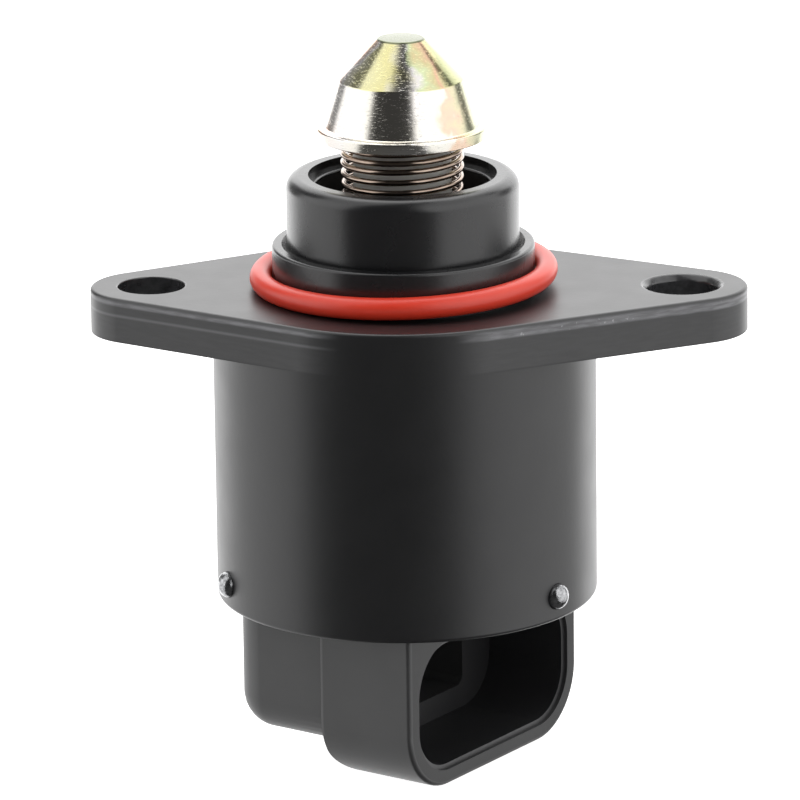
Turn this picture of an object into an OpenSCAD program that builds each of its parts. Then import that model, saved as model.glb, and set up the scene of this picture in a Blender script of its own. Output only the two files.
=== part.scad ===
// Idle air control valve: a stepper motor in a die-cast housing drives a pintle in and out of an
// air port. +Z runs along the pintle axis towards the tip. The origin is on that axis, in the
// plane of the flange's mating face. All sizes are in millimetres.

/* [Housing body] */
// Outside diameter of the cylindrical body
body_d = 32; // [30:0.1:35]
// Depth of the body below the mating face
body_depth = 26.35; // [24.5:0.05:30]
// Rounding of the body's lower outer edge
body_edge_r = 0.35; // [0.1:0.05:0.6]
// Wall of the body round the motor
body_wall = 1.8; // [1.5:0.05:2.2]
// Height of the spring floor above the mating face
spring_floor_h = 0.6; // [0.2:0.1:1.2]
// Thickness of the web between the spigot and the motor space
web_t = 3.3; // [2.8:0.1:4]
// Wall of the hub that holds the front bearing
hub_wall = 2.2; // [1.6:0.1:2.6]

/* [Flange] */
// Thickness of the flange
flange_t = 3.75; // [3:0.05:4.5]
// Distance of the left screw hole from the axis
left_hole_x = 21.1; // [20.4:0.1:23]
// Distance of the right screw hole from the axis
right_hole_x = 23.2; // [20.8:0.1:25]
// Diameter of the left screw hole
left_hole_d = 5.6; // [4.5:0.1:6]
// Diameter of the right screw hole
right_hole_d = 5.8; // [4.5:0.1:6]
// Chamfer at the mouth of the right screw hole
right_hole_chamfer = 0.45; // [0.1:0.05:0.8]
// Radius of the flange's left end
left_end_r = 5.1; // [4:0.1:6]
// Radius of the flange's right end
right_end_r = 5.45; // [4:0.1:6]

/* [Seat ring and spigot] */
// Diameter of the ring that the O-ring sits on
seat_ring_d = 21.9; // [21.2:0.1:22.5]
// Height of that ring above the mating face
seat_ring_h = 3.75; // [3:0.05:5]
// Rounding of the ring's upper edge
seat_ring_edge_r = 0.25; // [0.1:0.05:0.5]
// Width of the groove at the foot of the spigot
foot_groove_w = 0.45; // [0.2:0.05:0.6]
// Depth of that groove
foot_groove_depth = 0.3; // [0.1:0.05:0.6]
// Depth of the relief that the O-ring lies in
o_ring_relief = 0.1; // [0.05:0.05:0.2]
// Outside diameter of the spigot
spigot_d = 19.4; // [18.6:0.1:20.2]
// Height of the spigot above the mating face
spigot_h = 9.6; // [8.9:0.1:10.6]
// Rounding of the spigot's upper edge
spigot_edge_r = 1.1; // [0.3:0.05:1.3]
// Diameter of the counterbore in the spigot's end
counterbore_d = 15.7; // [15.3:0.1:16.4]
// Depth of the counterbore
counterbore_depth = 0.8; // [0.4:0.1:1.2]
// Diameter of the spigot's bore
spigot_bore_d = 14.4; // [13.6:0.1:14.8]
// Chamfer at the bore's mouth, in the counterbore's floor
spigot_bore_chamfer = 0.25; // [0.1:0.05:0.4]

/* [O-ring] */
// Section diameter of the O-ring
o_ring_section = 1.85; // [1.5:0.05:2.2]
// Slack of the O-ring on its ring, all round
o_ring_slack = 0.05; // [0.05:0.05:0.3]
// Tilt at which the O-ring lies
o_ring_tilt = 1.3; // [0.5:0.1:2.8]

/* [Pintle] */
// Height of the rim's underside above the mating face, with the pintle out
pintle_out = 12.8; // [12.6:0.05:14]
// Travel of the pintle
travel = 4; // [3:0.1:4.2]
// Diameter of the rim
rim_d = 14.2; // [13.6:0.1:15]
// Thickness of the rim
rim_t = 0.95; // [0.6:0.01:1.4]
// Bevel on the rim's edges
rim_bevel = 0.12; // [0.05:0.01:0.2]
// Diameter at the foot of the lower cone
cone_foot_d = 12.9; // [11.6:0.1:13.2]
// Height of the lower cone
lower_cone_h = 3.97; // [3:0.01:5]
// Diameter where the two cones meet
cone_break_d = 10.4; // [9:0.1:11]
// Height of the upper cone
upper_cone_h = 3.4; // [2.5:0.01:4]
// Diameter of the flat tip
tip_d = 4; // [3:0.1:5]
// Diameter of the sleeve under the pintle
sleeve_d = 8.2; // [7.6:0.1:8.6]
// Length of that sleeve
sleeve_len = 5.2; // [4:0.1:5.8]

/* [Spring] */
// Outside diameter of the spring
spring_d = 10.3; // [9.8:0.1:11]
// Diameter of the spring wire
spring_wire = 0.5; // [0.4:0.02:0.54]
// Number of turns of the spring
spring_turns = 13; // [10:1:14]
// Closed turns at each end
spring_closed = 1; // [0.5:0.25:1.5]
// Gap left at each end of the spring
spring_gap = 0.05; // [0.02:0.01:0.1]

/* [Lead screw and guide] */
// Diameter of the lead screw
screw_d = 5; // [4.4:0.1:5.4]
// Width across the screw's two guide flats
screw_flats = 4.2; // [3.6:0.1:4.3]
// Gap between the screw, with the pintle in, and the cap's floor
screw_end_gap = 0.95; // [0.5:0.05:1.5]
// Depth that the screw is pressed into the pintle
screw_press = 2.4; // [1.5:0.1:4]
// Outside diameter of the guide bush
bush_d = 8.6; // [7.6:0.1:9]
// Diameter of the bush's flange, which the spring sits on
bush_flange_d = 13; // [12:0.1:13.4]
// Thickness of that flange
bush_flange_t = 1; // [0.7:0.1:1.4]

/* [Front bearing] */
// Outside diameter of the ball bearing
bearing_d = 14; // [13:0.1:14.4]
// Bore of the ball bearing
bearing_bore = 7; // [6.6:0.1:7.4]
// Width of the ball bearing
bearing_w = 3.5; // [3:0.1:4]
// Diameter of a bearing ball
ball_d = 2; // [1.6:0.1:2.1]
// Number of bearing balls
ball_count = 7; // [6:1:8]
// Thickness of each bearing race
race_t = 1; // [0.9:0.05:1.15]

/* [Rotor] */
// Outside diameter of the rotor magnet
magnet_d = 15.6; // [14.6:0.1:15.8]
// Radial thickness of the magnet
magnet_t = 2.3; // [1.8:0.1:2.8]
// Length of hub that stands clear of the magnet at each end
magnet_inset = 0.7; // [0.4:0.1:1.5]
// Length of the thread in the hub
nut_len = 9; // [6:0.1:10]
// Diameter of the rotor's rear journal
rear_journal_d = 7; // [6.6:0.1:7.4]

/* [Stator] */
// Thickness of the stator's sheet steel
sheet_t = 0.9; // [0.7:0.05:1]
// Claws on each pole plate
claw_count = 6; // [4:1:6]
// Angle that a claw spans at its root
claw_root_angle = 25; // [18:1:26]
// Angle that a claw spans at its tip
claw_tip_angle = 14; // [8:1:16]
// Air gap between the magnet and the claws
air_gap = 0.3; // [0.25:0.05:0.4]
// Wall of a bobbin
bobbin_wall = 0.5; // [0.35:0.05:0.6]

/* [End cap and connector] */
// Height of the cap's plug and its recess together
cap_plug_h = 5.35; // [5:0.05:6]
// Recess of the cap's plug inside the body
cap_recess = 0.3; // [0.1:0.1:0.6]
// Angle of the socket's direction about the axis
mouth_angle = -32.5; // [-60:0.5:0]
// Width of the connector socket outside
socket_w = 25; // [23:0.1:25.6]
// Depth of the connector socket below the body
socket_drop = 14; // [13:0.1:15]
// Distance of the socket's mouth from the axis
mouth_reach = 8.75; // [8:0.05:9.2]
// Rounding of the socket's lower corners
socket_corner_r = 5.7; // [3:0.1:6]
// Side and bottom wall of the socket
socket_wall = 1.75; // [1.2:0.05:2]
// Rounding of the cavity's corners
cavity_corner_r = 4; // [2.5:0.1:4.4]
// Depth of the socket's cavity
cavity_depth = 7.75; // [6:0.05:8]
// Inset of the terminals' pocket from the cavity's two sides
pocket_side_inset = 4.15; // [3.5:0.05:5]
// Inset of that pocket from the cavity's floor and roof
pocket_inset = 2.05; // [1.8:0.05:3]
// Depth of that pocket
pocket_depth = 4; // [3:0.1:4.5]
// Rounding of that pocket's corners
pocket_corner_r = 0.8; // [0.4:0.1:1.5]
// Width of the step round the mouth
mouth_step_w = 0.4; // [0.3:0.05:0.8]
// Depth of that step
mouth_step_depth = 0.35; // [0.2:0.05:0.6]
// Rounding of the socket's lower back edge
socket_heel_r = 2.8; // [1:0.1:3.5]
// Distance of the rear block's back face from the axis
rear_reach = 9.9; // [9:0.05:10.4]
// Depth of the rear block below the body
rear_drop = 10.9; // [9:0.1:11.4]
// Step from the socket's side in to the rear block's side
rear_step = 0.25; // [0.1:0.05:0.5]
// Rounding of the rear block's edges
rear_edge_r = 3.2; // [1.5:0.1:3.5]

/* [Terminals] */
// Width and thickness of a terminal
terminal_t = 0.64; // [0.5:0.02:0.8]
// Distance from one terminal to the next
terminal_pitch = 2.9; // [2.5:0.1:3.2]
// Depth of the terminals' row below the body
terminal_drop = 7.1; // [6.4:0.1:7.6]
// How far a terminal's tip lies inside the pocket's mouth
terminal_recess = 2.4; // [0.5:0.1:3]

/* [Rear bearing and seals] */
// Outside diameter of the rear bush
rear_bush_d = 10; // [9.4:0.1:10.6]
// Length of the rear bush
rear_bush_len = 3; // [2.4:0.1:3.2]
// Section diameter of the cap's seal
cap_seal_section = 0.9; // [0.7:0.05:1]
// Diameter of the three pins that hold the cap
pin_d = 2.2; // [1.6:0.1:2.4]
// Height of the pins above the body's lower end
pin_h = 2.15; // [1.9:0.05:2.3]
// Angle of the first pin about the axis
pin_angle = -37; // [-60:0.5:-20]
// How far a pin's domed head stands out of the body
pin_proud = 0.75; // [0.4:0.05:0.9]
// Diameter of the dimple that the punch leaves in a pin's head
pin_dimple_d = 0.9; // [0.4:0.1:1.2]
// Depth of that dimple
pin_dimple_depth = 0.2; // [0.1:0.05:0.3]

/* [Clearances] */
// Radial gap of a shaft that turns or slides in a bore
running_gap = 0.05; // [0.02:0.01:0.1]
// Radial gap of a pressed or glued fit
fit_gap = 0.02; // [0.01:0.01:0.03]
// Radial gap between the motor and its bore
motor_gap = 0.1; // [0.05:0.05:0.2]

/* [Hidden] */
$fn = 72;

// Overlap that makes a cut run clear through a face, and a longer one past the mouth
eps = 0.01;
cut_past = 1;
arc_steps = 6;
pin_count = 3;
terminal_count = 4;

// Lands, reliefs and end gaps inside the valve, which the photograph does not show
relief_margin = 0.45;
web_relief_depth = 0.4;
web_relief_margin = 0.6;
flats_relief = 1.2;
shoulder_gap = 0.05;
shoulder_h = 0.03;
shoulder_w = 0.6;
journal_end_gap = 0.12;
hub_end_gap = 0.6;
nut_clearance = 0.3;
cage_half_t = 0.35;
claw_gap = 0.5;
bobbin_gap = 0.1;
winding_inset = 0.35;
washer_t = 0.25;
washer_rim_gap = 0.1;
washer_bore_gap = 0.2;
seal_land = 0.6;
seal_side_gap = 0.1;
well_gap = 0.6;
floor_t = 0.9;
neck_inset = 0.5;
neck_overlap = 0.6;
wall_overlap = 0.3;
block_overlap = 0.9;
terminal_back = 7;
terminal_top_cover = 0.3;
wire_flattening = 0.98;

body_r = body_d / 2;
motor_bore_r = body_r - body_wall;
seat_ring_r = seat_ring_d / 2;
spigot_r = spigot_d / 2;
counterbore_r = counterbore_d / 2;
spigot_bore_r = spigot_bore_d / 2;
screw_r = screw_d / 2;
bearing_r = bearing_d / 2;
o_ring_r = seat_ring_r + o_ring_slack + o_ring_section / 2;
web_under = spring_floor_h - web_t;
web_relief_r = bearing_r - race_t - web_relief_margin;
bearing_bottom = web_under - bearing_w;
hub_outer_r = bearing_r + hub_wall;
stator_r = motor_bore_r - motor_gap;
stator_bottom = cap_plug_h - body_depth;
phase_h = (bearing_bottom - stator_bottom) / 2;
hub_d = magnet_d - 2 * magnet_t;
claw_r = magnet_d / 2 + air_gap;
claw_outer_r = claw_r + sheet_t;
claw_root_r = claw_r + sheet_t / 2;
cap_bottom = cap_recess - body_depth;
pintle_rim_top = pintle_out + rim_t;
pintle_break = pintle_rim_top + lower_cone_h;
pintle_top = pintle_break + upper_cone_h;
screw_top = pintle_out + screw_press;
screw_bottom = cap_bottom + floor_t + travel + screw_end_gap;
bush_top = spring_floor_h + bush_flange_t;
hub_top = bearing_bottom - shoulder_gap;
hub_bottom = stator_bottom + hub_end_gap;
magnet_top = hub_top - magnet_inset;
magnet_bottom = hub_bottom + magnet_inset;
nut_top = (hub_top + hub_bottom + nut_len) / 2;
bore_clear_r = screw_r + nut_clearance;
flats_top = pintle_out - sleeve_len - flats_relief;
flats_bottom = nut_top + nut_clearance;
rear_bush_top = stator_bottom;
rear_bush_bottom = rear_bush_top - rear_bush_len;
spring_bottom = bush_top + spring_gap;
spring_top = pintle_out - spring_gap;
socket_bottom = -body_depth - socket_drop;
cavity_top = -body_depth - socket_wall;
terminal_z = -body_depth - terminal_drop;
cavity_back = mouth_reach - cavity_depth;
pocket_back = cavity_back - pocket_depth;
terminal_tip = cavity_back - terminal_recess;
pin_z = pin_h - body_depth;
pin_root = motor_bore_r - pin_d;
seal_groove_r = stator_r - cap_seal_section;
seal_groove_h = cap_seal_section + 2 * seal_side_gap;
seal_groove_top = stator_bottom - seal_land;
seal_ring_r = (seal_groove_r + motor_bore_r) / 2;

// Points of a quarter-round or any other arc, from angle a to angle b about (x, y)
function arc(x, y, r, a, b) = [
    for (i = [0:arc_steps]) let (t = a + (b - a) * i / arc_steps) [x + r * cos(t), y + r * sin(t)]
];

// Turns a profile of [radius, height] points about the axis
module turned(points) {
    rotate_extrude($fn = 96) polygon(points);
}

// A ring between two radii and two heights
module ring(inner_r, outer_r, low, high) {
    turned([[inner_r, low], [outer_r, low], [outer_r, high], [inner_r, high]]);
}

// Half of the flange's outline: the tangent lines from the body to one end circle
module flange_side(hole_x, end_r) {
    tilt = asin((body_r - end_r) / hole_x);
    polygon([
        [body_r * sin(tilt), body_r * cos(tilt)],
        [hole_x + end_r * sin(tilt), end_r * cos(tilt)],
        [hole_x + end_r * sin(tilt), -end_r * cos(tilt)],
        [body_r * sin(tilt), -body_r * cos(tilt)],
        [0, 0]
    ]);
    translate([hole_x, 0]) circle(r = end_r);
}

// The flange outside the body's wall, which it overlaps a little
module flange_plate() {
    difference() {
        translate([0, 0, -flange_t]) linear_extrude(flange_t) {
            circle(r = motor_bore_r);
            flange_side(right_hole_x, right_end_r);
            mirror([1, 0]) flange_side(left_hole_x, left_end_r);
        }
        translate([0, 0, -flange_t - eps]) {
            cylinder(r = body_r - wall_overlap, h = flange_t + 2 * eps, $fn = 96);
        }
    }
}

// The section of body, seat ring and spigot in one turned profile
module housing_shell() {
    turned(concat(
        [[motor_bore_r, -body_depth]],
        arc(body_r - body_edge_r, body_edge_r - body_depth, body_edge_r, -90, 0),
        [
            [body_r, 0],
            [seat_ring_r + o_ring_section + o_ring_slack + relief_margin, 0],
            [seat_ring_r + o_ring_section + o_ring_slack + relief_margin, -o_ring_relief],
            [seat_ring_r, -o_ring_relief]
        ],
        arc(seat_ring_r - seat_ring_edge_r, seat_ring_h - seat_ring_edge_r, seat_ring_edge_r, 0, 90),
        [
            [spigot_r + foot_groove_w, seat_ring_h],
            [spigot_r + foot_groove_w / 2, seat_ring_h - foot_groove_depth],
            [spigot_r, seat_ring_h]
        ],
        arc(spigot_r - spigot_edge_r, spigot_h - spigot_edge_r, spigot_edge_r, 0, 90),
        [
            [counterbore_r, spigot_h],
            [counterbore_r, spigot_h - counterbore_depth],
            [spigot_bore_r + spigot_bore_chamfer, spigot_h - counterbore_depth],
            [spigot_bore_r, spigot_h - counterbore_depth - spigot_bore_chamfer],
            [spigot_bore_r, spring_floor_h],
            [bush_d / 2 + fit_gap, spring_floor_h],
            [bush_d / 2 + fit_gap, web_under + web_relief_depth],
            [web_relief_r, web_under + web_relief_depth],
            [web_relief_r, web_under],
            [bearing_r + fit_gap, web_under],
            [bearing_r + fit_gap, bearing_bottom],
            [hub_outer_r, bearing_bottom],
            [hub_outer_r, web_under],
            [motor_bore_r, web_under]
        ]
    ));
}

module screw_hole(x, d, chamfer) {
    translate([x, 0, -flange_t - eps]) cylinder(d = d, h = flange_t + 2 * eps);
    if (chamfer > 0) {
        translate([x, 0, -chamfer]) cylinder(d1 = d, d2 = d + 2 * (chamfer + eps), h = chamfer + eps);
    }
}

// Places a child at pin i, with its +Z pointing out of the body
module at_pin(i) {
    angle = pin_angle + i * 360 / pin_count;
    rotate([0, 0, angle]) translate([0, 0, pin_z]) rotate([0, 90, 0]) children();
}

module pin_hole() {
    translate([0, 0, pin_root]) cylinder(d = pin_d + 2 * fit_gap, h = body_r, $fn = 32);
}

module housing() {
    color([0.08, 0.08, 0.085]) difference() {
        union() {
            flange_plate();
            housing_shell();
        }
        screw_hole(right_hole_x, right_hole_d, right_hole_chamfer);
        screw_hole(-left_hole_x, left_hole_d, 0);
        for (i = [0:pin_count - 1]) at_pin(i) pin_hole();
    }
}

module o_ring() {
    lift = o_ring_section / 2 + o_ring_r * sin(o_ring_tilt) - o_ring_relief + fit_gap;
    color([0.82, 0.23, 0.16]) translate([0, 0, lift]) rotate([0, -o_ring_tilt, 0]) {
        rotate_extrude($fn = 96) translate([o_ring_r, 0]) circle(d = o_ring_section, $fn = 32);
    }
}

module pintle() {
    color([0.86, 0.84, 0.66]) turned([
        [screw_r + fit_gap, pintle_out],
        [rim_d / 2 - rim_bevel, pintle_out],
        [rim_d / 2, pintle_out + rim_bevel],
        [rim_d / 2, pintle_rim_top - rim_bevel],
        [rim_d / 2 - rim_bevel, pintle_rim_top],
        [cone_foot_d / 2, pintle_rim_top],
        [cone_break_d / 2, pintle_break],
        [tip_d / 2, pintle_top],
        [0, pintle_top],
        [0, screw_top + fit_gap],
        [screw_r + fit_gap, screw_top + fit_gap]
    ]);
}

module pintle_sleeve() {
    color([0.42, 0.42, 0.40]) {
        ring(screw_r + fit_gap, sleeve_d / 2, pintle_out - sleeve_len, pintle_out);
    }
}

coil_sides = 8;
coil_steps = 20;
coil_rings = spring_turns * coil_steps;
coil_r = (spring_d - spring_wire) / 2;
coil_pitch = (spring_top - spring_bottom - spring_wire - 2 * spring_wire * spring_closed)
    / (spring_turns - 2 * spring_closed);

// Height of the wire's centre after u turns: closed, then open, then closed again
function coil_height(u) = spring_bottom + spring_wire / 2
    + min(u, spring_closed) * spring_wire
    + max(0, min(u, spring_turns - spring_closed) - spring_closed) * coil_pitch
    + max(0, u - spring_turns + spring_closed) * spring_wire;

function coil_point(i, j) = let (
    turn = 360 * i / coil_steps,
    side = 360 * j / coil_sides,
    r = coil_r + spring_wire / 2 * cos(side)
) [
    r * cos(turn),
    r * sin(turn),
    coil_height(i / coil_steps) + wire_flattening * spring_wire / 2 * sin(side)
];

module pintle_spring() {
    points = [for (i = [0:coil_rings]) for (j = [0:coil_sides - 1]) coil_point(i, j)];
    skin = [
        for (i = [0:coil_rings - 1]) for (j = [0:coil_sides - 1])
            let (k = (j + 1) % coil_sides, a = i * coil_sides, b = (i + 1) * coil_sides)
            [a + j, a + k, b + k, b + j]
    ];
    first_end = [for (j = [0:coil_sides - 1]) coil_sides - 1 - j];
    last_end = [for (j = [0:coil_sides - 1]) coil_rings * coil_sides + j];
    color([0.34, 0.27, 0.21]) polyhedron(points, concat(skin, [first_end, last_end]), convexity = 10);
}

// A round bar with two flats, as on the screw's upper part and in the bush's bore
module flatted(r, flats, low, high) {
    translate([0, 0, low]) intersection() {
        cylinder(r = r, h = high - low);
        translate([-flats / 2, -2 * r, 0]) cube([flats, 4 * r, high - low]);
    }
}

module lead_screw() {
    color([0.70, 0.70, 0.68]) {
        translate([0, 0, flats_top]) cylinder(r = screw_r, h = screw_top - flats_top);
        flatted(screw_r, screw_flats, flats_bottom, flats_top);
        translate([0, 0, screw_bottom]) cylinder(r = screw_r, h = flats_bottom - screw_bottom);
    }
}

module guide_bush() {
    color([0.62, 0.52, 0.36]) difference() {
        union() {
            ring(0, bush_flange_d / 2, spring_floor_h, bush_top);
            ring(0, bush_d / 2, web_under + web_relief_depth, spring_floor_h);
        }
        flatted(
            screw_r + running_gap, screw_flats + 2 * running_gap,
            web_under + web_relief_depth - eps, bush_top + eps
        );
    }
}

ball_circle_r = (bearing_r + bearing_bore / 2) / 2;
bearing_mid = bearing_bottom + bearing_w / 2;

module ball_ring(gap) {
    translate([0, 0, bearing_mid]) rotate_extrude($fn = 96) {
        translate([ball_circle_r, 0]) circle(r = ball_d / 2 + gap, $fn = 32);
    }
}

module balls(gap) {
    for (i = [0:ball_count - 1]) {
        rotate([0, 0, i * 360 / ball_count]) translate([ball_circle_r, 0, bearing_mid]) {
            sphere(r = ball_d / 2 + gap, $fn = 32);
        }
    }
}

module bearing_outer_race() {
    color([0.72, 0.73, 0.75]) difference() {
        ring(bearing_r - race_t, bearing_r, bearing_bottom, web_under);
        ball_ring(running_gap);
    }
}

module bearing_inner_race() {
    inner_r = bearing_bore / 2;
    color([0.72, 0.73, 0.75]) difference() {
        ring(inner_r, inner_r + race_t, bearing_bottom, web_under);
        ball_ring(running_gap);
    }
}

module bearing_balls() {
    color([0.80, 0.81, 0.83]) balls(0);
}

module bearing_cage() {
    half = ball_d / 2 + cage_half_t;
    color([0.66, 0.60, 0.40]) difference() {
        ring(
            ball_circle_r - cage_half_t, ball_circle_r + cage_half_t,
            bearing_mid - half, bearing_mid + half
        );
        balls(running_gap);
    }
}

// Moulded hub with the nut thread: front journal, barrel for the magnet, rear journal
module rotor_hub() {
    front_journal_r = bearing_bore / 2 - fit_gap;
    rear_journal_r = rear_journal_d / 2;
    nut_r = screw_r + running_gap;
    nut_bottom = nut_top - nut_len;
    color([0.82, 0.80, 0.72]) turned([
        [bore_clear_r, rear_bush_bottom + journal_end_gap],
        [rear_journal_r, rear_bush_bottom + journal_end_gap],
        [rear_journal_r, hub_bottom],
        [hub_d / 2, hub_bottom],
        [hub_d / 2, hub_top],
        [front_journal_r + shoulder_w, hub_top],
        [front_journal_r + shoulder_w, hub_top + shoulder_h],
        [front_journal_r, hub_top + shoulder_h],
        [front_journal_r, web_under - journal_end_gap],
        [bore_clear_r, web_under - journal_end_gap],
        [bore_clear_r, nut_top],
        [nut_r, nut_top],
        [nut_r, nut_bottom],
        [bore_clear_r, nut_bottom]
    ]);
}

module rotor_magnet() {
    color([0.22, 0.22, 0.23]) {
        ring(hub_d / 2 + fit_gap, magnet_d / 2, magnet_bottom, magnet_top);
    }
}

// One claw: a wedge of the ring, narrower towards its tip at the height h
module claw(h) {
    half_root = claw_outer_r * tan(claw_root_angle / 2);
    half_tip = claw_outer_r * tan(claw_tip_angle / 2);
    intersection() {
        ring(claw_r, claw_outer_r, 0, h);
        rotate([90, 0, 90]) linear_extrude(2 * claw_outer_r) {
            polygon([[-half_root, -eps], [half_root, -eps], [half_tip, h], [-half_tip, h]]);
        }
    }
}

module claws(offset_angle) {
    for (i = [0:claw_count - 1]) {
        rotate([0, 0, offset_angle + i * 360 / claw_count]) claw(phase_h - sheet_t - claw_gap);
    }
}

// Cup of one phase with its end plate at the height 0 and its open side upwards
module stator_cup() {
    union() {
        turned([
            [claw_root_r, 0], [stator_r, 0], [stator_r, phase_h],
            [stator_r - sheet_t, phase_h], [stator_r - sheet_t, sheet_t], [claw_root_r, sheet_t]
        ]);
        claws(0);
    }
}

// Pole plate of one phase, closing the cup, with its claws pointing down
module pole_plate() {
    translate([0, 0, phase_h]) mirror([0, 0, 1]) union() {
        ring(claw_root_r, stator_r - sheet_t - fit_gap, 0, sheet_t);
        claws(180 / claw_count);
    }
}

module bobbin() {
    inner_r = claw_outer_r + bobbin_gap;
    outer_r = stator_r - sheet_t - bobbin_gap;
    low = sheet_t + fit_gap;
    high = phase_h - sheet_t - fit_gap;
    turned([
        [inner_r, low], [outer_r, low], [outer_r, low + bobbin_wall],
        [inner_r + bobbin_wall, low + bobbin_wall], [inner_r + bobbin_wall, high - bobbin_wall],
        [outer_r, high - bobbin_wall], [outer_r, high], [inner_r, high]
    ]);
}

module winding() {
    wall = bobbin_wall + fit_gap;
    ring(
        claw_outer_r + bobbin_gap + wall, stator_r - sheet_t - bobbin_gap - winding_inset,
        sheet_t + fit_gap + wall, phase_h - sheet_t - fit_gap - wall
    );
}

// The rear phase stands on the end cap, the front phase is its mirror image above
module rear_phase() {
    translate([0, 0, stator_bottom]) children();
}

module front_phase() {
    translate([0, 0, bearing_bottom]) mirror([0, 0, 1]) children();
}

module preload_washer() {
    outer_r = rear_bush_d / 2 - washer_rim_gap;
    inner_r = rear_journal_d / 2 + washer_bore_gap;
    low = rear_bush_top;
    high = hub_bottom - shoulder_gap;
    color([0.75, 0.75, 0.76]) turned([
        [outer_r, low], [outer_r, low + washer_t], [inner_r, high], [inner_r, high - washer_t]
    ]);
}

module rear_bush() {
    color([0.62, 0.50, 0.32]) {
        ring(rear_journal_d / 2 + running_gap, rear_bush_d / 2, rear_bush_bottom, rear_bush_top);
    }
}

// Turns a child so that +X points out of the socket's mouth
module towards_mouth() {
    rotate([0, 0, mouth_angle]) children();
}

// Extrudes a [side, height] outline along the mouth's direction, between two reaches
module along_mouth(from, to) {
    translate([from, 0, 0]) rotate([90, 0, 90]) linear_extrude(to - from) children();
}

// An upright rectangle with its own radius at the lower and at the upper corners
module rounded_outline(half_w, low, high, low_r, high_r) {
    middle = (low + high) / 2;
    translate([-half_w, low + low_r]) square([2 * half_w, high - high_r - low - low_r]);
    translate([low_r - half_w, low]) square([2 * (half_w - low_r), middle - low]);
    for (s = [-1, 1]) translate([s * (half_w - low_r), low + low_r]) circle(r = low_r);
    if (high_r > 0) {
        translate([high_r - half_w, middle]) square([2 * (half_w - high_r), high - middle]);
        for (s = [-1, 1]) translate([s * (half_w - high_r), high - high_r]) circle(r = high_r);
    }
}

// The socket's outer block, rounded along its lower edges and at its heel
module socket_block() {
    half_w = socket_w / 2;
    long = rear_step + mouth_reach + cut_past;
    high = socket_drop + cut_past;
    intersection() {
        along_mouth(-rear_step, mouth_reach) {
            rounded_outline(half_w, socket_bottom, -body_depth, socket_corner_r, 0);
        }
        translate([-rear_step, half_w + eps, socket_bottom]) rotate([90, 0, 0]) {
            linear_extrude(socket_w + 2 * eps) {
                translate([socket_heel_r, socket_heel_r]) circle(r = socket_heel_r);
                translate([socket_heel_r, -eps]) square([long, high]);
                translate([0, socket_heel_r]) square([long, high]);
            }
        }
    }
}

// The shallower block behind the socket, with ball-rounded corners
module rear_block() {
    r = rear_edge_r;
    side = socket_w / 2 - rear_step - r;
    low = -body_depth - rear_drop + r;
    hull() {
        for (s = [-1, 1]) {
            translate([r - rear_reach, s * side, low]) sphere(r = r, $fn = 32);
            translate([r - rear_reach, s * side, low]) cylinder(r = r, h = rear_drop - r, $fn = 32);
            translate([0, s * side, low]) rotate([0, 90, 0]) cylinder(r = r, h = block_overlap, $fn = 32);
            translate([0, s * side - r, low]) cube([block_overlap, 2 * r, rear_drop - r]);
        }
    }
}

// The short neck that joins both blocks to the plug, inside the body's end
module cap_neck() {
    half_w = socket_w / 2 - rear_step - neck_inset;
    low = -body_depth - neck_overlap;
    h = cap_recess + 2 * neck_overlap;
    intersection() {
        translate([0, 0, low]) cylinder(r = stator_r - neck_inset, h = h);
        translate([neck_inset - rear_reach, -half_w, low]) {
            cube([rear_reach + mouth_reach - 2 * neck_inset, 2 * half_w, h]);
        }
    }
}

// Everything that is cut from the socket: mouth step, cavity and the terminals' pocket
module socket_hollow() {
    half_w = socket_w / 2 - socket_wall;
    low = socket_bottom + socket_wall;
    along_mouth(cavity_back, mouth_reach + cut_past) {
        rounded_outline(half_w, low, cavity_top, cavity_corner_r, cavity_corner_r);
    }
    along_mouth(mouth_reach - mouth_step_depth, mouth_reach + cut_past) {
        rounded_outline(
            half_w + mouth_step_w, low - mouth_step_w, cavity_top + mouth_step_w,
            cavity_corner_r + mouth_step_w, cavity_corner_r + mouth_step_w
        );
    }
    along_mouth(pocket_back, cavity_back + eps) {
        rounded_outline(
            half_w - pocket_side_inset, low + pocket_inset, cavity_top - pocket_inset,
            pocket_corner_r, pocket_corner_r
        );
    }
}

// A bent square pin: an upright leg inside the cap and a leg that stands in the pocket
module terminal_shape(i, gap) {
    t = terminal_t + 2 * gap;
    y = (i - (terminal_count + 1) / 2) * terminal_pitch;
    upright = stator_bottom - terminal_top_cover - terminal_z + t / 2 + gap;
    towards_mouth() translate([-terminal_back - t / 2, y - t / 2, terminal_z - t / 2]) {
        cube([terminal_tip + terminal_back + t / 2, t, t]);
        cube([t, t, upright]);
    }
}

module end_cap() {
    color([0.11, 0.11, 0.115]) difference() {
        union() {
            turned([
                [0, cap_bottom], [stator_r, cap_bottom], [stator_r, seal_groove_top - seal_groove_h],
                [seal_groove_r, seal_groove_top - seal_groove_h], [seal_groove_r, seal_groove_top],
                [stator_r, seal_groove_top], [stator_r, stator_bottom], [0, stator_bottom]
            ]);
            towards_mouth() socket_block();
            towards_mouth() rear_block();
            towards_mouth() cap_neck();
        }
        towards_mouth() socket_hollow();
        translate([0, 0, rear_bush_bottom]) {
            cylinder(r = rear_bush_d / 2 + fit_gap, h = rear_bush_len + eps);
        }
        translate([0, 0, cap_bottom + floor_t]) {
            cylinder(r = screw_r + well_gap, h = rear_bush_bottom - cap_bottom - floor_t + eps);
        }
        for (i = [1:terminal_count]) terminal_shape(i, fit_gap);
        for (i = [0:pin_count - 1]) at_pin(i) pin_hole();
    }
}

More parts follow.
